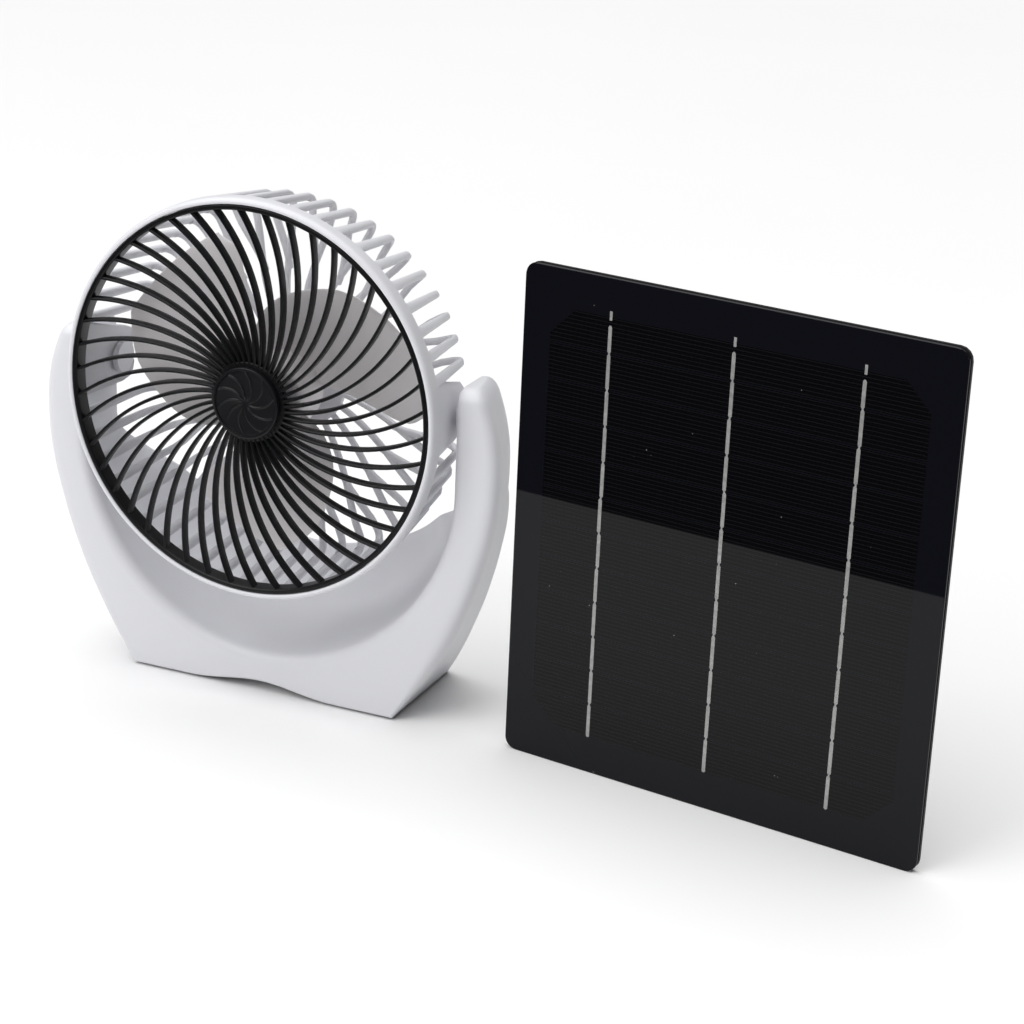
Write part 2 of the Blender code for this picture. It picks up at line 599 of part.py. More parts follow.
def junction_box(group, origin, y):
    """The output box on the panel's back, with its USB socket facing down."""
    low, high = 128.0, 166.0
    shape = box((-30.0, y, low), (30.0, y + 11.0, high))
    case = node("junction_box", shape, group, origin, (0.02, 0.02, 0.02), 0.5)
    hollow = box((-27.8, y + 1.6, low + 2.2), (27.8, y + 20.0, high - 2.2))
    combine(case, hollow, "DIFFERENCE", group, origin)
    combine(case, box((-7.1, y + 2.6, low - 4.0), (7.1, y + 9.0, low + 6.0)), "DIFFERENCE", group, origin)
    lid = box((-30.0, y + 11.3, low), (30.0, y + 13.3, high))
    node("junction_lid", lid, group, origin, (0.02, 0.02, 0.02), 0.45)
    shell = node("usb_shell", box((-6.8, y + 2.9, low + 0.4), (6.8, y + 8.7, low + 14.0)), group, origin,
                 (0.65, 0.65, 0.66), 0.25, 1.0)
    combine(shell, box((-6.4, y + 3.3, low - 2.0), (6.4, y + 8.3, low + 12.6)), "DIFFERENCE", group, origin)
    tongue = box((-5.4, y + 3.7, low + 1.2), (5.4, y + 5.3, low + 12.3))
    node("usb_tongue", tongue, group, origin, (0.7, 0.7, 0.7), 0.5)
    board = box((-22.0, y + 4.0, low + 15.0), (22.0, y + 5.4, high - 3.0))
    node("regulator_board", board, group, origin, (0.02, 0.18, 0.07), 0.5)


def main():
    clear_scene()
    fan = empty("fan", FAN_AT)
    pivot = (0.0, PIVOT_Y, HEAD_Z)
    tilt = empty("tilt_axis", pivot, fan)
    spin_at = (0.0, 0.0, HEAD_Z)
    spin = empty("spin_axis", (0.0, -PIVOT_Y, 0.0), tilt)
    base_at = (0.0, 0.0, 0.0)
    base_shell(fan, base_at)
    bottom_cover(fan, base_at)
    controls(fan, base_at)
    button_at = (BUTTON_X, CONTROL_Y, CONTROL_Z)
    speed_button(empty("button_axis", button_at, fan), button_at)
    rear_housing(tilt, pivot)
    front_grille(tilt, pivot)
    hub_cap(tilt, pivot)
    motor(tilt, pivot)
    for side in (-1, 1):
        tilt_pin(side, tilt, pivot)
    impeller(spin, spin_at)
    panel(empty("solar_panel", PANEL_AT, yaw=PANEL_YAW))


main()
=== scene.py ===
# Looks for the table fan and the solar panel that powers it.
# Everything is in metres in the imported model's own frame: +Z up, the fan faces -Y.
import math
import bmesh
import bpy
import numpy as np
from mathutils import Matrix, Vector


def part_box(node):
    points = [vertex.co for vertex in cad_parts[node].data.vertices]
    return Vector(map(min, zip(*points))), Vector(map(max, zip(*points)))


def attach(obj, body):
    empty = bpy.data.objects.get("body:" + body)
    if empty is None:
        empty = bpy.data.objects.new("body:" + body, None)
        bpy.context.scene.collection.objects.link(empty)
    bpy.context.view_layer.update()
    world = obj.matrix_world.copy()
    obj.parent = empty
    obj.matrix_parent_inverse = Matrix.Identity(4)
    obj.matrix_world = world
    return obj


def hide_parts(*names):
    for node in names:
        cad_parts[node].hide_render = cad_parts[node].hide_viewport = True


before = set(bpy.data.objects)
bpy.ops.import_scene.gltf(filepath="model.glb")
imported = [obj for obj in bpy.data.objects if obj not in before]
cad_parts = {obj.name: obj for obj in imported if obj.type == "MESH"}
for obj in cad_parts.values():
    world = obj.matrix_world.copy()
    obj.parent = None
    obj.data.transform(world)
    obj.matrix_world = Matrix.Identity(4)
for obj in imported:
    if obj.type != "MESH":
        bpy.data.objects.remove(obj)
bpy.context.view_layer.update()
mm = 0.001


# Places taken from the cad
def middle(node):
    low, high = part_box(node)
    return (np.array(low) + np.array(high)) / 2


headCentre = middle("front_grille") / mm
headX, headZ = headCentre[0], headCentre[2]
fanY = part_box("front_grille")[0][1] / mm + 19.35      # depths on the fan are measured from here
panelCentre = middle("panel_cover") / mm
print("frame loaded, head axis at", round(headX, 1), round(headZ, 1))


# Small tools for meshes
# A sheet of quads over points[row, column]; closed around, its open ends can be capped.
def gridShape(points, closedAround=True, caps=(True, True)):
    rows, columns = points.shape[:2]
    index = np.arange(rows * columns).reshape(rows, columns)
    ahead = np.roll(index, -1, axis=1) if closedAround else index[:, 1:]
    here = index if closedAround else index[:, :-1]
    quads = np.stack([here[:-1], ahead[:-1], ahead[1:], here[1:]], axis=-1).reshape(-1, 4)
    faces = quads.tolist()
    if caps[0]:
        faces.append(index[0, ::-1].tolist())
    if caps[1]:
        faces.append(index[-1].tolist())
    return points.reshape(-1, 3), faces


# Several shapes as one list of points and faces.
def joined(shapes):
    points, faces, start = [], [], 0
    for more, moreFaces in shapes:
        points.append(more)
        faces += [[i + start for i in face] for face in moreFaces]
        start += len(more)
    return np.concatenate(points), faces


def makeObject(name, shape, smooth=35):
    points, faces = shape
    mesh = bpy.data.meshes.new(name)
    mesh.from_pydata((points * mm).tolist(), [], faces)
    work = bmesh.new()
    work.from_mesh(mesh)
    bmesh.ops.remove_doubles(work, verts=work.verts, dist=1e-7)
    bmesh.ops.recalc_face_normals(work, faces=work.faces)
    work.to_mesh(mesh)
    work.free()
    made = bpy.data.objects.new(name, mesh)
    bpy.context.scene.collection.objects.link(made)
    mesh.shade_smooth()
    mesh.set_sharp_from_angle(angle=math.radians(smooth))
    return made


# A finished piece that rides on a body and stands for the CAD nodes named.
def piece(name, shape, body, material, nodes=(), smooth=35):
    made = makeObject(name, shape, smooth)
    made.data.materials.append(material)
    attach(made, body)
    if nodes:
        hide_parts(*nodes)
    return made


# Turns a closed (radius, along) outline about an axis: across = r cos t, up = r sin t.
def lathe(profile, steps=96, centre=(0.0, 0.0, 0.0), axis="Y"):
    profile = np.asarray(profile, float)
    turn = np.linspace(0, 2 * np.pi, steps, endpoint=False)[:, None]
    across = profile[:, 0] * np.cos(turn)
    up = profile[:, 0] * np.sin(turn)
    along = np.broadcast_to(profile[:, 1], across.shape)
    order = {"X": (along, across, up), "Y": (across, along, up), "Z": (across, up, along)}[axis]
    points = np.stack(order, axis=-1) + np.asarray(centre)
    points = np.concatenate([points, points[:1]])
    return gridShape(points, True, (False, False))


# A closed outline with each corner replaced by a curve: (1-s)^2 a + 2s(1-s) b + s^2 c.
def rounded(outline, radius, steps=4):
    outline = np.asarray(outline, float)
    radius = np.broadcast_to(radius, len(outline))
    before, after = np.roll(outline, 1, axis=0), np.roll(outline, -1, axis=0)
    out = []
    for a, b, c, r in zip(before, outline, after, radius):
        first = b + (a - b) * min(0.49, r / max(1e-9, np.linalg.norm(a - b)))
        last = b + (c - b) * min(0.49, r / max(1e-9, np.linalg.norm(c - b)))
        share = np.linspace(0, 1, steps)[:, None]
        out.append((1 - share) ** 2 * first + 2 * share * (1 - share) * b + share ** 2 * last)
    return np.concatenate(out)


# A unit square outline from -0.5 to 0.5 with rounded corners, for bars.
def roundedSection(corner=0.45, steps=3):
    return rounded([(0.5, 0.5), (-0.5, 0.5), (-0.5, -0.5), (0.5, -0.5)], corner, steps)


# A bar along path: point = path + side * width * u + deep * depth * v over the section (u, v).
def bar(path, width, depth, facing, section):
    along = np.gradient(path, axis=0)
    along /= np.linalg.norm(along, axis=1)[:, None]
    side = np.cross(along, facing)
    side /= np.linalg.norm(side, axis=1)[:, None]
    deep = np.cross(side, along)
    u, v = section[:, 0], section[:, 1]
    points = path[:, None] + side[:, None] * (width[:, None] * u)[..., None]
    points = points + deep[:, None] * (depth[:, None] * v)[..., None]
    return gridShape(points)


# Points at a radius and an angle in degrees about the head's axis, at depth y on the fan.
def onHead(radius, angle, y):
    turn = np.radians(angle)
    radius, turn, y = np.broadcast_arrays(radius, turn, y)
    return np.stack([headX + radius * np.cos(turn), fanY + y, headZ + radius * np.sin(turn)], axis=-1)


# Shader maths
# One socket of a material; arithmetic on it adds Math nodes.
class Wire:
    def __init__(self, material, socket):
        self.material, self.socket = material, socket

    def maths(self, operation, *values):
        return self.material.node("ShaderNodeMath", {"operation": operation}, dict(enumerate(values)))

    def __add__(self, other):
        return self.maths("ADD", self, other)

    def __sub__(self, other):
        return self.maths("SUBTRACT", self, other)

    def __mul__(self, other):
        return self.maths("MULTIPLY", self, other)

    def __rsub__(self, other):
        return self.maths("SUBTRACT", other, self)

    __radd__ = __add__
    __rmul__ = __mul__

    # 0 below edge - soft, 1 above edge + soft.
    def above(self, edge, soft):
        settings = {"interpolation_type": "SMOOTHSTEP"}
        values = {"Value": self, "From Min": edge - soft, "From Max": edge + soft}
        return self.material.node("ShaderNodeMapRange", settings, values)


socketNames = {
    "color": "Base Color", "roughness": "Roughness", "metallic": "Metallic", "specular": "Specular IOR Level",
    "coat": "Coat Weight", "coatRoughness": "Coat Roughness", "coatIor": "Coat IOR",
}


# A material with one Principled shader and a few helpers to build its nodes.
class Finish:
    def __init__(self, name, **constants):
        self.made = bpy.data.materials.new(name)
        self.made.use_nodes = True
        self.shader = self.made.node_tree.nodes["Principled BSDF"]
        for key, value in constants.items():
            socket = self.shader.inputs[socketNames[key]]
            socket.default_value = (*value, 1.0) if key == "color" else value

    def node(self, kind, settings=None, inputs=None, output=0):
        made = self.made.node_tree.nodes.new(kind)
        for key, value in (settings or {}).items():
            setattr(made, key, value)
        for key, value in (inputs or {}).items():
            self.put(made.inputs[key], value)
        return Wire(self, made.outputs[output])

    def put(self, socket, value):
        if isinstance(value, Wire):
            self.made.node_tree.links.new(value.socket, socket)
        else:
            socket.default_value = value

    # Object coordinates.
    def place(self):
        return self.node("ShaderNodeTexCoord", None, None, "Object")

    # Noise whose features are about size metres.
    def noise(self, size, detail=2.0, spot=None, roughness=0.5):
        spot = spot or self.place()
        return self.node("ShaderNodeTexNoise", None, {"Vector": spot, "Scale": 1.0 / size, "Detail": detail,
                                                      "Roughness": roughness}, "Fac")

    # A colour between two, by an amount from 0 to 1.
    def tint(self, amount, low, high):
        return self.node("ShaderNodeMix", {"data_type": "RGBA"},
                         {"Factor": amount, 6: (*low, 1.0), 7: (*high, 1.0)}, 2)

    # Two colour wires or tuples mixed by an amount.
    def blend(self, amount, low, high):
        low = low if isinstance(low, Wire) else (*low, 1.0)
        high = high if isinstance(high, Wire) else (*high, 1.0)
        return self.node("ShaderNodeMix", {"data_type": "RGBA"}, {"Factor": amount, 6: low, 7: high}, 2)

    def bump(self, height, distance, strength=1.0):
        normal = self.node("ShaderNodeBump", None,
                           {"Height": height, "Distance": distance, "Strength": strength})
        self.put(self.shader.inputs["Normal"], normal)

    def set(self, **wires):
        for key, wire in wires.items():
            self.put(self.shader.inputs[socketNames[key]], wire)
        return self.made


# Moulded plastic: a fine grain, slow shifts in tone and gloss, and a few faint rubs.
def mouldedPlastic(name, color, look):
    finish = Finish(name, color=color, specular=look["specular"])
    grain = finish.noise(look["grain"], 3.0)
    slow = finish.noise(look["drift"], 2.0)
    low = tuple(c * (1 - look["tone"]) for c in color)
    high = tuple(min(1.0, c * (1 + look["tone"])) for c in color)
    rub = finish.noise(look["drift"] * 0.3, 6.0, None, 0.7).above(0.62, 0.1)
    finish.bump(grain, look["grainHeight"], look["grainStrength"])
    rough = (slow - 0.5) * look["glossShift"] + look["roughness"] + rub * look["rub"]
    return finish.set(color=finish.tint(slow, low, high), roughness=rough)


plasticLook = {
    "white": {"specular": 0.42, "grain": 0.00035, "drift": 0.03, "tone": 0.012, "grainHeight": 0.00002,
              "grainStrength": 0.35, "glossShift": 0.10, "roughness": 0.42, "rub": 0.05},
    "black": {"specular": 0.2, "grain": 0.0003, "drift": 0.015, "tone": 0.15, "grainHeight": 0.00002,
              "grainStrength": 0.25, "glossShift": 0.10, "roughness": 0.33, "rub": 0.08},
    "grey": {"specular": 0.45, "grain": 0.0004, "drift": 0.02, "tone": 0.04, "grainHeight": 0.00002,
             "grainStrength": 0.2, "glossShift": 0.10, "roughness": 0.30, "rub": 0.06},
    "rough": {"specular": 0.35, "grain": 0.0006, "drift": 0.012, "tone": 0.12, "grainHeight": 0.00008,
              "grainStrength": 0.8, "glossShift": 0.12, "roughness": 0.58, "rub": 0.06},
}
whitePlastic = mouldedPlastic("whitePlastic", (0.72, 0.723, 0.755), plasticLook["white"])
cagePlastic = mouldedPlastic("cagePlastic", (0.74, 0.743, 0.775), plasticLook["white"])
coverPlastic = mouldedPlastic("coverPlastic", (0.62, 0.62, 0.64), plasticLook["white"])
grillePlastic = mouldedPlastic("grillePlastic", (0.0055, 0.0055, 0.0065), plasticLook["black"])
hubPlastic = mouldedPlastic("hubPlastic", (0.0075, 0.0075, 0.009), plasticLook["black"])
bladePlastic = mouldedPlastic("bladePlastic", (0.88, 0.85, 0.86), plasticLook["grey"])
boxPlastic = mouldedPlastic("boxPlastic", (0.016, 0.016, 0.018), plasticLook["rough"])
rubberBlack = mouldedPlastic("rubberBlack", (0.018, 0.018, 0.018), plasticLook["rough"])
switchPlastic = mouldedPlastic("switchPlastic", (0.03, 0.03, 0.03), plasticLook["rough"])


# Plated or turned metal with fine scratches and slow dulling.
def turnedMetal(name, color, roughness, scratch):
    finish = Finish(name, color=color, metallic=1.0)
    spot = finish.place()
    fine = finish.noise(scratch, 4.0, spot)
    dull = finish.noise(0.004, 3.0, spot)
    finish.bump(fine, 0.00001, 0.4)
    dark = tuple(c * 0.75 for c in color)
    return finish.set(color=finish.tint(dull, dark, color), roughness=(dull - 0.5) * 0.25 + roughness)


platedSteel = turnedMetal("platedSteel", (0.62, 0.62, 0.60), 0.32, 0.0002)
brassMetal = turnedMetal("brassMetal", (0.66, 0.43, 0.16), 0.34, 0.0002)
copperWire = turnedMetal("copperWire", (0.50, 0.22, 0.09), 0.36, 0.00025)


# Green solder mask with faint traces.
def circuitBoard():
    finish = Finish("boardGreen", color=(0.01, 0.12, 0.05), specular=0.5)
    spot = finish.place()
    traces = finish.node("ShaderNodeTexVoronoi", {"feature": "DISTANCE_TO_EDGE", "distance": "MANHATTAN"},
                         {"Vector": spot, "Scale": 300.0}, "Distance").above(0.08, 0.02)
    return finish.set(color=finish.tint(traces, (0.02, 0.20, 0.08), (0.01, 0.11, 0.045)),
                      roughness=traces * 0.1 + 0.3)


boardGreen = circuitBoard()


# The stand: an arch swept from one arm's tip, under the head, to the other
stand = {
    "scoopRadius": 84.5, "scoopCentre": 101.5, "ballRadius": 85.7, "ballBack": -19.0, "front": -4.6,
    "armDepth": 24.0, "rimDepth": 50.0, "rimPower": 1.45, "footDepth": 66.0, "floorGap": 1.0,
    "arch": 3.6, "archHalf": 34.0, "wall": 2.4, "bowlWall": 3.2, "taper": 5.0,
    "depthRise": 30.0, "depthPower": 0.8, "footTaper": 12.0, "taperHeight": 40.0, "roundHeight": 60.0,
    "lipRound": 4.2, "rimRound": 2.2, "bowlSteps": 15, "openFloor": 6.0,
    "height": (0, 12, 24, 37, 54.6, 73.3, 88, 98, 110, 122, 131, 138, 143, 147),
    "half": (60.2, 68.2, 76, 83.4, 90.9, 97, 100.6, 102, 102.55, 101.9, 99.9, 97.4, 95, 92.6),
    "tip": (146.0, 5.4, 0.5), "hollowTip": (139.8, 2.8, 0.4),      # top, fall to full size, bluntness
    "pinBore": (4.1, 82.0, 90.0),                                 # radius, inner end, outer end
}


# Eases from 0 to 1: 3 v^2 - 2 v^3.
def easeStep(value):
    value = np.clip(value, 0, 1)
    return value * value * (3 - 2 * value)


# A curve through a table: cubic pieces whose slopes are the mean of their neighbours'.
def smoothTable(x, xs, ys):
    xs, ys = np.asarray(xs, float), np.asarray(ys, float)
    slope = np.gradient(ys, xs)
    i = np.clip(np.searchsorted(xs, x) - 1, 0, len(xs) - 2)
    span = xs[i + 1] - xs[i]
    s = np.clip((x - xs[i]) / span, 0, 1)
    return ((2 * s ** 3 - 3 * s ** 2 + 1) * ys[i] + (s ** 3 - 2 * s ** 2 + s) * span * slope[i]
            + (3 * s ** 2 - 2 * s ** 3) * ys[i + 1] + (s ** 3 - s ** 2) * span * slope[i + 1])


# Distance from the scoop's axis to its wall: an ellipse whose height follows a ball in depth, and whose
# width eases from the tube's to the ball's as the direction drops.
def scoopReach(direction, y):
    tube = stand["scoopRadius"]
    low = np.sqrt(np.maximum(1, stand["ballRadius"] ** 2 - (y - stand["ballBack"]) ** 2))
    drop = np.maximum(0, -direction[:, 1:])
    side = tube + (np.minimum(tube, low) - tube) * easeStep(drop / 0.4)
    return 1 / np.hypot(direction[:, :1] / side, drop / low)


# Rounds the corner b between a and c for every station at once, as points [station, step, 2].
def bend(a, b, c, radius, count):
    first = b + (a - b) * np.minimum(0.5, radius / np.linalg.norm(a - b, axis=1))[:, None]
    last = b + (c - b) * np.minimum(0.5, radius / np.linalg.norm(c - b, axis=1))[:, None]
    s = np.linspace(0, 1, count)[None, :, None]
    return (1 - s) ** 2 * first[:, None] + 2 * s * (1 - s) * b[:, None] + s ** 2 * last[:, None]


# Sections across the arch. Each is an outline in (reach, y) laid along its station's direction. The arms'
# stations lie flat and the others fan out from the scoop's centre. An inset above 0 makes the hollow.
def standSkin(inset):
    k = stand
    mid = k["scoopCentre"]
    tip = np.linspace(0, 1, 11 if not inset else 4)
    top, fall, bluntness = k["tip"] if not inset else k["hollowTip"]
    tipZ = top - fall * (1 - np.cos(tip * np.pi / 2))
    tipScale = bluntness + (1 - bluntness) * np.sin(tip * np.pi / 2)
    armZ = np.concatenate([tipZ, np.linspace(tipZ[-1] - 2, mid + 2, 12)])
    sideZ = np.concatenate([np.linspace(mid, 8, 40), [6, 4.5, 3, 2, k["floorGap"]]])
    floorX = np.concatenate([[60.3, 59.4, 58.1], np.linspace(56, 2, 28)])
    halfAt = lambda z: smoothTable(z, k["height"], k["half"])
    spotX = np.concatenate([halfAt(armZ), halfAt(sideZ), floorX])
    spotZ = np.concatenate([armZ * 0, sideZ - mid, floorX * 0 + k["floorGap"] - mid])
    centre = np.concatenate([armZ, sideZ * 0 + mid, floorX * 0 + mid])
    floor = np.concatenate([armZ * 0, sideZ * 0, floorX * 0 + 1]).astype(bool)
    scale = np.concatenate([tipScale, np.ones(len(armZ) - len(tipZ) + len(sideZ) + len(floorX))])
    reach = np.hypot(spotX, spotZ)
    direction = np.stack([spotX, spotZ], axis=1) / reach[:, None]
    height = centre + reach * direction[:, 1]
    x = reach * direction[:, 0]
    face = k["front"] + inset
    drop = np.abs(direction[:, 1])
    rise = (1 - np.maximum(0, 1 - drop) ** k["rimPower"]) * easeStep(5 * drop)
    rim = k["armDepth"] + (k["rimDepth"] - k["armDepth"]) * rise - inset
    sideDepth = k["armDepth"] + k["depthRise"] * np.maximum(0, 1 - height / mid) ** k["depthPower"]
    footDepth = k["footDepth"] - k["footTaper"] * (np.abs(x) / k["half"][0]) ** 3
    depth = np.where(floor, footDepth, sideDepth) - inset
    bowl = k["bowlWall"] if inset else 0.0
    taper = np.where(floor, 0, k["taper"] * easeStep(height / k["taperHeight"]))
    backRound = np.where(floor, 2.5, 3 + 11 * easeStep(height / k["roundHeight"])) - inset
    frontRound = np.where(floor, 1.5, 1.5 + 6 * easeStep(height / k["taperHeight"])) - inset
    outer = reach - inset + (k["openFloor"] + inset) * floor * bool(inset)
    lift = k["arch"] * np.cos(np.pi / 2 * np.clip(x / k["archHalf"], -1, 1)) ** 2 * floor * (not inset)
    at = lambda y: scoopReach(direction, y)[:, 0] + bowl
    pair = lambda r, y: np.stack([r + 0 * reach, y + 0 * reach], axis=1)
    lip, edge = pair(at(np.array([face])), face), pair(at(rim[:, None]), rim)
    back, front = pair(outer - 0.7 * taper, depth), pair(outer - lift + 0.3 * taper, face)
    inside = k["front"] + 8.0
    first, last = pair(at(np.array([inside])), inside), pair(at(rim[:, None] - 6), rim - 6)
    shares = np.linspace(0.06, 0.96, k["bowlSteps"])
    ys = face + 2.6 + (rim - 5.2 - face)[:, None] * shares
    bowlLine = np.stack([scoopReach(direction, ys) + bowl, ys], axis=-1)
    backR, frontR = np.maximum(1, backRound), np.maximum(1, frontRound)
    sides = [bend(front, lip, first, k["lipRound"], 7), bowlLine, bend(last, edge, back, k["rimRound"], 5),
             bend(edge, back, front, backR, 10), bend(back, front, lip, frontR, 9)]
    outline = np.concatenate(sides, axis=1)
    heart = outline.mean(axis=1, keepdims=True)
    outline = heart + (outline - heart) * scale[:, None, None]
    along, y = outline[..., 0], outline[..., 1]
    right = np.stack([along * direction[:, :1], y, centre[:, None] + along * direction[:, 1:]], axis=-1)
    left = right[::-1] * np.array([-1, 1, 1])
    points = np.concatenate([right, left])
    return gridShape(points + np.array([headX, fanY, 0]))


# A plain box between two corners, for cutting.
def block(low, high):
    xs, ys, zs = zip(low, high)
    ring = [[xs[0], ys[0]], [xs[1], ys[0]], [xs[1], ys[1]], [xs[0], ys[1]]]
    points = np.array([[[x, y, z] for x, y in ring] for z in zs], float)
    return gridShape(points)


# Cuts closed shapes from a piece and keeps the result as its mesh.
def cutAway(target, shapes, smooth):
    for number, shape in enumerate(shapes):
        tool = makeObject(f"{target.name}Tool{number}", shape)
        change = target.modifiers.new("cut", "BOOLEAN")
        change.operation, change.solver, change.object = "DIFFERENCE", "EXACT", tool
    graph = bpy.context.evaluated_depsgraph_get()
    result = bpy.data.meshes.new_from_object(target.evaluated_get(graph))
    tools = [m.object for m in target.modifiers]
    target.modifiers.clear()
    target.data = result
    for tool in tools:
        bpy.data.objects.remove(tool)
    target.data.shade_smooth()
    target.data.set_sharp_from_angle(angle=math.radians(smooth))


def makeStand():
    made = piece("stand", standSkin(0.0), "stand", whitePlastic, ["base_shell"], 38)
    low, high = (np.array(c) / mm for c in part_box("control_plate"))
    pivot = (np.array(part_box("tilt_pin_right")[0]) + np.array(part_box("tilt_pin_left")[1])) / 2 / mm
    window = block(low - [0.3, 7.8, 0.3], high + [0.3, 20.0, 0.3])
    bore, start, end = stand["pinBore"]
    bores = [lathe([(0.0, s * start), (bore, s * start), (bore, s * end), (0.0, s * end)], 48,
                   (headX, pivot[1], pivot[2]), "X") for s in (-1, 1)]
    cutAway(made, [standSkin(stand["wall"]), window, *bores], 38)
    print("stand made")


makeStand()


# The head: white band, cage rods, back plate and tilt pads
cage = {
    "rods": 50, "phase": 6.5, "bandOuter": 82.5, "bandInner": 80.0, "front": -19.35, "bandBack": -12.35,
    "rearPlane": 26.6, "cornerRadius": 5.4, "plateRadius": 22.0,
    "rodSide": 81.2, "padSide": 82.2, "sideFrom": 14.0, "sideSlope": 4.05 / 32.0,
    "widthAt": (-14.2, -12.2, -11.6, -10.8, -9.5, 6, 20, 27),
    "width": (6.8, 6.2, 5.4, 4.8, 4.5, 3.8, 3.3, 2.9),
    "depthAt": (-14.2, -8, 20, 27), "depth": (2.4, 3.0, 3.0, 2.7),
}


# A rod's centre line: straight back, round a corner, then in over the back towards the plate.
def rodPath(angle, full):
    k = cage
    pitch = 360 / k["rods"]
    y = np.array([-14.2, -12.9, -12.2, -11.6, -10.8, -9.5, -7.0, 0.0, 9.0, 17.0, 21.4])
    side = k["rodSide"] - (y + k["sideFrom"]) * k["sideSlope"]
    r, c = k["cornerRadius"], (side[-1] - 0.35 - k["cornerRadius"], k["rearPlane"] - k["cornerRadius"])
    turn = np.radians(np.linspace(0, 90, 9))
    inner = np.array([66, 58, 52, 48, 44, 40, 34, 28, 20]) if full else np.array([66, 58, 52, 49, 46.5, 44.5])
    radius = np.concatenate([side, c[0] + r * np.cos(turn), inner])
    depth = np.concatenate([y, c[1] + r * np.sin(turn), inner * 0 + k["rearPlane"]])
    swing = easeStep((70 - radius) / 50) * 1.2 if full else easeStep((70 - radius) / 25) * -0.55
    swing = np.where(depth > k["rearPlane"] - 0.5, swing, 0)
    path = onHead(radius, angle + swing * pitch, depth)
    width = np.interp(depth, k["widthAt"], k["width"])
    width = np.where(radius < 66, width * np.interp(radius, [20, 60], [0.78, 1]), width)
    return path, width, np.interp(depth, k["depthAt"], k["depth"])


# The band, the back plate with its motor socket, the rods and the two pads.
def makeCage():
    k = cage
    band = rounded([(k["bandInner"], k["front"] + 0.5), (k["bandInner"] + 1.1, k["front"] - 0.2),
                    (k["bandOuter"], k["front"] + 1.2), (k["bandOuter"], k["bandBack"]),
                    (k["bandInner"], k["bandBack"])], (0.2, 1.0, 1.6, 0.5, 0.3), 6)
    plate = rounded([(0.0, 28.2), (k["plateRadius"], 28.2), (k["plateRadius"], 24.6), (14.6, 24.6),
                     (14.6, 14.6), (12.6, 14.6), (12.6, 24.6), (0.0, 24.6)],
                    (0.0, 0.9, 0.4, 0.5, 0.3, 0.3, 0.3, 0.0), 4)
    axis = (headX, fanY, headZ)
    shapes = [lathe(band, 200, axis), lathe(plate, 96, axis)]
    section = roundedSection(0.45, 4)
    for number in range(k["rods"]):
        angle = k["phase"] + 360 / k["rods"] * number
        if abs((angle + 90) % 180 - 90) < tiltPads["halfAngle"]:      # a pad takes these rods' place
            continue
        path, width, deep = rodPath(angle, number % 2 == 0)
        outward = path - np.array([headX, 0, headZ]) * [1, 0, 1] - path * [0, 1, 0]
        rear = (path[:, 1:2] > fanY + k["rearPlane"] - 2.5)
        facing = np.where(rear, np.array([0.0, 1.0, 0.0]), outward / np.linalg.norm(outward, axis=1)[:, None])
        shapes.append(bar(path, width, deep, facing, section))
    for side in (0, 180):
        shapes.append(tiltPad(side))
    piece("cage", joined(shapes), "head", cagePlastic, ["rear_housing"], 40)
    print("cage made")


# Depths along a pad and the angles of its upper and lower edges there
tiltPads = {
    "y": (-13.5, -12.0, -6.0, 0.0, 6.0, 12.0, 17.0, 19.4, 20.4),
    "high": (14.6, 14.3, 13.2, 12.1, 10.9, 9.8, 8.8, 7.4, 5.0),
    "low": (-8.2, -8.2, -8.2, -8.2, -8.2, -8.2, -7.4, -5.4, -3.0),
    "thick": 2.6, "eased": 0.7, "easedShare": 0.06, "halfAngle": 11.0,
}


# A plate that follows the cage: radius falls with depth, its top edge slopes down to the back.
def tiltPad(side):
    flip = 1 if side == 0 else -1
    y, high, low = (np.array(tiltPads[key], float) for key in ("y", "high", "low"))
    share = np.linspace(0, 1, 15)
    angle = low[:, None] + (high - low)[:, None] * share
    outer = cage["padSide"] - (y[:, None] + cage["sideFrom"]) * cage["sideSlope"] + 0 * angle
    rim = np.minimum(1, np.minimum(share, 1 - share) / tiltPads["easedShare"])
    outer = outer - tiltPads["eased"] * (1 - rim) ** 2
    inner = outer - tiltPads["thick"]
    edge = np.concatenate([angle, angle[:, ::-1]], axis=1) * flip + side
    radius = np.concatenate([outer, inner[:, ::-1]], axis=1)
    return gridShape(onHead(radius, edge, y[:, None]))


makeCage()


# The black front grille
grille = {
    "ribs": 46, "phase": 6.34, "swirl": 0.44, "width": 1.5, "depth": 4.2, "ribSteps": 20,
    "ringOuter": 79.7, "ringInner": 77.7, "front": -19.35, "back": -12.35, "collar": 16.5, "capRadius": 14.6,
    "ridges": 10, "ridgeStart": 24.0, "ridgeBend": 46.0, "ramp": 0.3, "bead": 0.32, "beadWidth": 0.32,
    "capFace": -18.75, "capBack": -17.4,
}


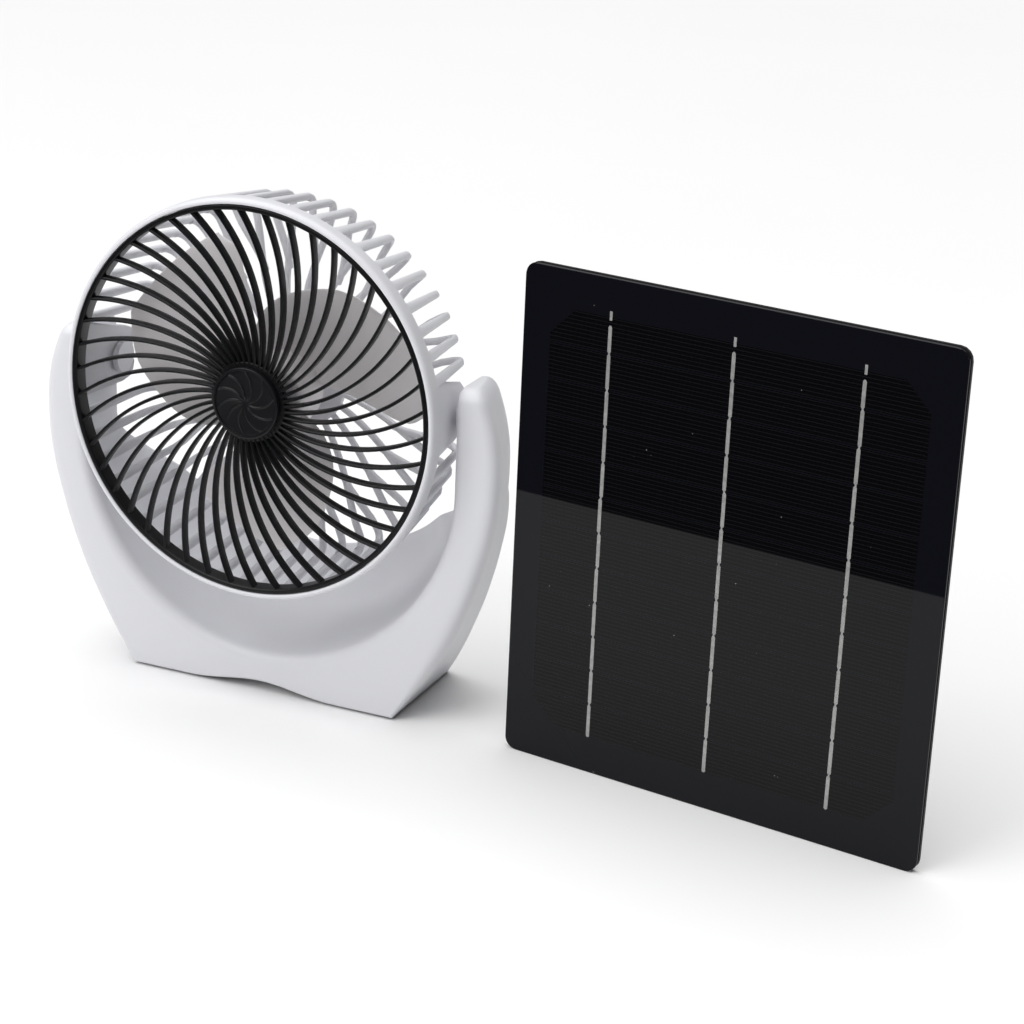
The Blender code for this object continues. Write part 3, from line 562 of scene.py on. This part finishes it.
# The cap: depth = face - ramp * share - bead, where share runs 0 to 1 across each sector between two
# curved ridges and the bead is exp(-(distance / width)^2) from the nearest ridge.
def hubCap():
    k = grille
    edge = k["capRadius"]
    turn = np.linspace(0, 2 * np.pi, 361)[:-1][None, :]
    reach = np.concatenate([[0.02], np.linspace(0.6, edge - 1.7, 30)])[:, None]
    sector = 2 * np.pi / k["ridges"]
    curve = np.radians(k["ridgeStart"] - k["ridgeBend"] + k["ridgeBend"] * (reach / edge) ** 1.4)
    share = ((turn - curve) / sector) % 1.0
    away = np.minimum(share, 1 - share) * sector * reach
    grown = easeStep((reach - 0.8) / 3)
    bead = k["bead"] * np.exp(-(away / k["beadWidth"]) ** 2)
    face = k["capFace"] - grown * (k["ramp"] * (1 - share) + bead)
    rim = np.array([(edge - 1.3, -18.8), (edge - 1.0, -19.4), (edge - 0.5, -19.5), (edge, -19.2),
                    (edge, k["capBack"]), (0.02, k["capBack"])])
    radius = np.concatenate([reach + 0 * turn, rim[:, :1] + 0 * turn])
    depth = np.concatenate([face, rim[:, 1:] + 0 * turn])
    shape = gridShape(onHead(radius, np.degrees(turn), depth))
    piece("hubCap", shape, "head", hubPlastic, ["hub_cap"], 45)


# A ring, a collar and ribs. Each rib's angle falls in step with its distance from the ring, and faster
# near the hub, while its front moves back a little towards the hub.
def makeGrille():
    k = grille
    axis = (headX, fanY, headZ)
    ring = rounded([(k["ringInner"], k["front"] + 0.6), (k["ringInner"] + 0.6, k["front"]),
                    (k["ringOuter"], k["front"] + 0.1), (k["ringOuter"], k["back"]),
                    (k["ringInner"], k["back"])], (0.3, 0.4, 0.3, 0.2, 0.2), 4)
    collar = rounded([(0.0, -16.9), (k["collar"], -16.9), (k["collar"], -13.4), (0.0, -13.4)],
                     (0.0, 0.5, 0.4, 0.0), 4)
    shapes = [lathe(ring, 184, axis), lathe(collar, 92, axis)]
    radius = np.linspace(14.95, 78.4, k["ribSteps"])
    front = k["front"] + 0.35 + 1.9 * (78 - radius) / 63
    swing = -k["swirl"] * (77 - radius) - 0.0012 * np.maximum(0, 50 - radius) ** 2
    section = roundedSection(0.4, 3)
    wide = np.full(k["ribSteps"], k["width"])
    deep = np.full(k["ribSteps"], k["depth"])
    for number in range(k["ribs"]):
        path = onHead(radius, k["phase"] + 360 / k["ribs"] * number + swing, front + k["depth"] / 2)
        shapes.append(bar(path, wide, deep, np.broadcast_to([0.0, 1.0, 0.0], path.shape), section))
    piece("swirlGrille", joined(shapes), "head", grillePlastic, ["front_grille"], 40)
    hubCap()
    print("grille made")


makeGrille()


# The impeller
fanBlades = {
    "count": 3, "tip": 66.0, "thick": 1.7, "spinner": 18.0,
    "radius": (17, 34, 40, 50, 60, 66), "trailing": (106, 91, 83, 67, 52, 40),
    "leadRadius": (17, 36, 57, 66), "leading": (6, -3, -8, -5), "front": -4.0, "reach": 17.0, "crown": 3.0,
}


# Each blade spans radius and share of chord: y = front + reach s + crown sin(pi s).
def makeImpeller():
    k = fanBlades
    outward = np.sin(np.linspace(0.15, 1, 8) * np.pi / 2)
    radius = np.concatenate([np.linspace(16.6, 60, 22), 60 + (k["tip"] - 60) * outward])
    share = (1 - np.cos(np.linspace(0, np.pi, 30))) / 2
    high = smoothTable(radius, k["radius"], k["trailing"])
    low = smoothTable(radius, k["leadRadius"], k["leading"])
    soften = 1 - 0.10 * easeStep((radius - 58) / 8)
    mid, half = (high + low) / 2, (high - low) / 2 * soften
    angle = mid[:, None] + half[:, None] * (1 - 2 * share)
    y = k["front"] + k["reach"] * share + k["crown"] * np.sin(np.pi * share)
    y = y + 0 * angle
    chordEdge = np.sqrt(np.maximum(0, 1 - (2 * share - 1) ** 8))
    tipEdge = np.sqrt(np.maximum(0.02, 1 - ((radius[:, None] - 16) / 50.3) ** 40))
    edge = chordEdge * tipEdge
    half = k["thick"] / 2 * (0.1 + 0.9 * edge)
    shapes = []
    for number in range(k["count"]):
        turn = 360 / k["count"] * number
        top = onHead(radius[:, None], angle + turn, y - half)
        under = onHead(radius[:, None], angle + turn, y + half)
        shapes.append(gridShape(np.concatenate([top, under[:, ::-1]], axis=1)))
    s = k["spinner"]
    cup = rounded([(1.3, -8.0), (4.0, -8.0), (4.0, -10.6), (13.0, -10.6), (s, -7.0), (s, 14.0),
                   (s - 2, 14.0), (s - 2, -6.2), (4.0, -6.8), (4.0, 0.0), (1.3, 0.0)],
                  (0.1, 0.1, 0.5, 3.0, 3.0, 0.5, 0.5, 1.0, 0.3, 0.3, 0.1), 5)
    shapes.append(lathe(cup, 96, (headX, fanY, headZ)))
    piece("impeller", joined(shapes), "spinner", bladePlastic, ["impeller"], 42)
    print("impeller made")


makeImpeller()


# The solar panel
panel = {
    "width": 180.0, "height": 201.4, "corner": 5.0, "yaw": -9.18, "cover": 0.8, "strips": 12, "pitch": 14.3,
    "gap": 0.6, "cell": 156.0, "clip": 10.5, "ribbonPitch": 52.0, "ribbon": 1.5, "fingers": 9,
    "ribbonCut": 3.2, "tabWidth": 0.74, "tabHeight": 3.6, "tabBelowTop": 12.8, "glossIor": 1.275,
}
panelYaw = math.radians(panel["yaw"])


# Points from the panel's own frame: x across, y into its back, z up from its lower edge.
def onPanel(x, y, z):
    x, y, z = np.broadcast_arrays(x, y, z)
    c, s = math.cos(panelYaw), math.sin(panelYaw)
    ahead = y - panel["cover"] / 2
    across, back = panelCentre[0] + c * x - s * ahead, panelCentre[1] + s * x + c * ahead
    return np.stack([across, back, z + 0.0 * x], axis=-1)


# A flat plate with an (x, z) outline from y0 to y1, its front edge eased by a small round.
def plateOn(outline, y0, y1, edge=0.0):
    outline = np.asarray(outline, float)
    mid = outline.mean(axis=0)
    rows = [(y0, 0), (y1, 0)]
    if edge:
        rows = [(y0, edge), (y0 + edge * 0.3, edge * 0.3), (y0 + edge, 0.0), (y1, 0.0)]
    out = np.sign(outline - mid)
    points = np.stack([onPanel(outline[:, 0] - out[:, 0] * pull, y, outline[:, 1] - out[:, 1] * pull)
                       for y, pull in rows])
    return gridShape(points)


# A rectangle on the floor with a quarter circle at each corner: centre + r (cos t, sin t).
def panelOutline():
    k = panel
    w, h, r = k["width"] / 2, k["height"], k["corner"]
    turn = np.radians(np.linspace(0, 90, 10))
    arcs = []
    for q, sx, sz in ((0, 1, 1), (np.pi / 2, -1, 1), (np.pi, -1, -1), (3 * np.pi / 2, 1, -1)):
        across = sx * (w - r) + r * np.cos(turn + q)
        up = h / 2 + sz * (h / 2 - r) + r * np.sin(turn + q)
        arcs.append(np.stack([across, up], axis=1))
    return np.concatenate(arcs)


# Black laminate under a clear gloss layer, with dust specks and a very slow waviness.
def glossyLaminate(name, color, fine):
    finish = Finish(name, color=color, coatRoughness=0.02, coatIor=panel["glossIor"], specular=0.0)
    spot = finish.place()
    specks = finish.node("ShaderNodeTexVoronoi", {"feature": "F1"}, {"Vector": spot, "Scale": 530.0},
                         "Distance")
    rare = finish.noise(0.007, 3.0, spot).above(0.71, 0.03)
    dust = (1 - specks.above(0.13, 0.04)) * rare
    wave = finish.noise(0.05, 1.0, spot)
    finish.bump(wave, 0.00004, 0.5)
    base = finish.tint(dust, color, (0.25, 0.25, 0.24))
    if fine:
        fingers = fingerLines(finish)
        base = finish.blend(fingers, base, (0.011, 0.011, 0.012))
    return finish.set(color=base, roughness=dust * 0.3 + 0.32, coat=1.0 - dust * 0.6)


# Thin printed lines across each strip: a sharp peak of cos(2 pi z / pitch).
def fingerLines(finish):
    height = finish.node("ShaderNodeSeparateXYZ", None, {0: finish.place()}, 2)
    step = panel["pitch"] / panel["fingers"] * mm
    start = (panel["height"] - panel["strips"] * panel["pitch"]) / 2 * mm
    wave = finish.node("ShaderNodeMath", {"operation": "COSINE"},
                       {0: (height - start - step / 2) * (2 * math.pi / step)})
    return wave.above(0.93, 0.06)


def makePanel():
    k = panel
    laminate = glossyLaminate("panelGloss", (0.0050, 0.0052, 0.0076), False)
    silicon = glossyLaminate("siliconStrip", (0.0028, 0.0028, 0.0036), True)
    foil = glossyRibbon()
    piece("panelFront", plateOn(panelOutline(), 0.02, k["cover"], 0.35), "panel", laminate, ["panel_cover"],
          12)
    low = (k["height"] - k["strips"] * k["pitch"]) / 2
    half = k["cell"] / 2
    for number in range(k["strips"]):
        z0 = low + number * k["pitch"] + k["gap"] / 2
        z1 = z0 + k["pitch"] - k["gap"]
        c0 = k["clip"] if number == 0 else 0.0
        c1 = k["clip"] if number == k["strips"] - 1 else 0.0
        ring = [(-half + c0, z0), (half - c0, z0), (half, z0 + c0), (half, z1 - c1), (half - c1, z1),
                (-half + c1, z1), (-half, z1 - c1), (-half, z0 + c0)]
        ring = [p for i, p in enumerate(ring) if p != ring[i - 1]]
        piece(f"cellStrip{number + 1:02d}", plateOn(ring, 0.0, 0.3), "panel", silicon,
              [f"cell_strip_{number + 1:02d}"], 30)
    makeRibbons(foil, low)
    print("panel made")


# Tinned copper under the clear layer.
def glossyRibbon():
    finish = Finish("ribbonUnderGloss", metallic=0.35, coat=0.8, coatRoughness=0.03,
                    coatIor=panel["glossIor"], specular=0.3)
    spot = finish.place()
    solder = finish.noise(0.0022, 4.0, spot, 0.6)
    finish.bump(solder, 0.00005, 0.6)
    return finish.set(color=finish.tint(solder, (0.17, 0.17, 0.165), (0.50, 0.50, 0.49)),
                      roughness=solder * 0.25 + 0.35)


# Each ribbon is laid strip by strip, shifted a little and necked where one strip meets the next.
def makeRibbons(foil, low):
    k = panel
    chance = np.random.default_rng(7)
    for number in range(3):
        x = (number - 1) * k["ribbonPitch"]
        shapes = []
        for stripNumber in range(k["strips"]):
            z0 = low + stripNumber * k["pitch"] + 0.25
            z1 = z0 + k["pitch"] - 0.5
            if stripNumber == k["strips"] - 1:
                z1 -= k["ribbonCut"]
            shift = chance.uniform(-0.16, 0.16)
            w = k["ribbon"] / 2
            ring = [(x + shift - w, z0 + 0.5), (x + shift - w * 0.5, z0), (x + shift + w * 0.5, z0),
                    (x + shift + w, z0 + 0.5), (x + shift + w, z1 - 0.7), (x + shift + w * 0.45, z1),
                    (x + shift - w * 0.45, z1), (x + shift - w, z1 - 0.7)]
            shapes.append(plateOn(ring, -0.03, 0.25))
            if stripNumber:
                shapes.append(plateOn([(x - 0.35, z0 - 0.7), (x + 0.35, z0 - 0.7), (x + 0.35, z0 + 0.3),
                                       (x - 0.35, z0 + 0.3)], -0.028, 0.24))
        piece(f"ribbon{number + 1}", joined(shapes), "panel", foil, [f"ribbon_{number + 1}"],
              30)
        w = k["ribbon"] / 2 * k["tabWidth"]
        top = k["height"] - k["tabBelowTop"]
        foot = top - k["tabHeight"]
        ring = [(x - w, foot), (x + w, foot), (x + w, top), (x - w, top)]
        piece(f"ribbonTab{number + 1}", plateOn(ring, -0.03, 0.25), "panel", foil,
              [f"ribbon_tab_{number + 1}"], 30)


makePanel()


# Finishes for the CAD nodes that stay
def paint(material, *names):
    for name in names:
        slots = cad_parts[name].data.materials
        slots.clear()
        slots.append(material)


paint(coverPlastic, "bottom_cover", "control_plate")
paint(platedSteel, *[f"bottom_screw_{i}" for i in range(1, 5)], "motor_screw_1", "motor_screw_2", "motor_can",
      "motor_shaft", "tilt_clip_left", "tilt_clip_right", "inlet_shell", "usb_shell")
paint(rubberBlack, *[f"rubber_foot_{i}" for i in range(1, 5)])
paint(cagePlastic, "tilt_washer_left", "tilt_washer_right", "tilt_pin_left", "tilt_pin_right")
paint(switchPlastic, "speed_switch", "motor_end_cap", "inlet_tongue", "usb_tongue")
paint(brassMetal, "motor_bushing")
paint(copperWire, "motor_rotor")
paint(bladePlastic, "impeller_cap")
paint(whitePlastic, "speed_button")
paint(boardGreen, "control_board", "regulator_board")
paint(boxPlastic, "junction_box", "junction_lid", "panel_board")
lensFinish = Finish("lensPlastic", color=(0.45, 0.62, 0.72), coat=0.5)
haze = lensFinish.noise(0.001, 2.0)
lensFinish.set(color=lensFinish.tint(haze, (0.40, 0.58, 0.70), (0.55, 0.72, 0.82)),
               roughness=haze * 0.1 + 0.15)
paint(lensFinish.made, "status_lens")
print("finishes done")


# Floor, light and camera
studio = {
    "floorHalf": 9000.0, "floorTone": 0.90, "worldTone": 0.12,
    "sunPower": 2.95, "sunSpread": 80.0, "sunFrom": (-0.14, -0.06, 0.99),
    "keyAt": (-0.9, -1.5, 1.2), "keyAim": (-0.05, 0.0, 0.1), "keySize": (1.2, 0.9), "keyPower": 14.0,
    "flagFrom": 262.0, "flagSize": (5000.0, 3000.0), "flagHeight": 0.5,
    "cameraAt": (0.38089, -0.89891, 0.44808), "cameraTurn": (69.891, -2.40567, 23.39077), "lens": 91.406,
}


# The turn that points a light's back along a direction: tilt by atan2(flat, up), then face by atan2(x, -y).
def turnedTo(away):
    return math.atan2(math.hypot(away[0], away[1]), away[2]), 0.0, math.atan2(away[0], -away[1])


# A rectangular lamp at one point, turned to another.
def softBox(name, at, aim, size, power):
    light = bpy.data.lights.new(name, "AREA")
    light.shape, light.size, light.size_y, light.energy = "RECTANGLE", size[0], size[1], power
    made = bpy.data.objects.new(name, light)
    bpy.context.scene.collection.objects.link(made)
    made.location = at
    made.rotation_euler = turnedTo(np.array(at, float) - np.array(aim, float))


# A black card lying on the floor in front of the panel, which only reflections see.
def makeFlag():
    k = studio
    wide, deep = k["flagSize"]
    near, up = -k["flagFrom"], k["flagHeight"]
    corners = np.array([[onPanel(-wide / 2, near, up), onPanel(wide / 2, near, up)],
                        [onPanel(-wide / 2, near - deep, up), onPanel(wide / 2, near - deep, up)]])
    flag = makeObject("flag", gridShape(corners, False, (False, False)))
    flag.data.materials.append(Finish("flagCloth", color=(0.002, 0.002, 0.002), specular=0.0).made)
    flag.visible_camera = flag.visible_diffuse = flag.visible_shadow = flag.visible_transmission = False


def makeStudio():
    k = studio
    far = k["floorHalf"]
    corners = np.array([[[-far, -far, 0], [far, -far, 0]], [[-far, far, 0], [far, far, 0]]])
    floor = makeObject("floor", gridShape(corners, False, (False, False)))
    paper = Finish("floorPaper", color=(k["floorTone"],) * 3, specular=0.2)
    mottle = paper.noise(0.4, 2.0)
    tone = k["floorTone"]
    paper.set(color=paper.tint(mottle, (tone - 0.01,) * 3, (tone + 0.01,) * 3), roughness=mottle * 0.1 + 0.75)
    floor.data.materials.append(paper.made)
    world = bpy.data.worlds.new("studio")
    world.use_nodes = True
    sky = world.node_tree.nodes["Background"]
    sky.inputs["Color"].default_value = (k["worldTone"],) * 3 + (1.0,)
    bpy.context.scene.world = world
    sun = bpy.data.lights.new("topLight", "SUN")
    sun.energy, sun.angle = k["sunPower"], math.radians(k["sunSpread"])
    holder = bpy.data.objects.new("topLight", sun)
    bpy.context.scene.collection.objects.link(holder)
    holder.rotation_euler = turnedTo(k["sunFrom"])
    softBox("keyLight", k["keyAt"], k["keyAim"], k["keySize"], k["keyPower"])
    makeFlag()
    camera = bpy.data.cameras.new("camera")
    camera.lens, camera.sensor_width, camera.clip_start = k["lens"], 36.0, 0.01
    holder = bpy.data.objects.new("camera", camera)
    bpy.context.scene.collection.objects.link(holder)
    holder.location = k["cameraAt"]
    holder.rotation_euler = [math.radians(a) for a in k["cameraTurn"]]
    bpy.context.scene.camera = holder
    bpy.context.scene.view_settings.view_transform = "Standard"


makeStudio()
print("studio done")
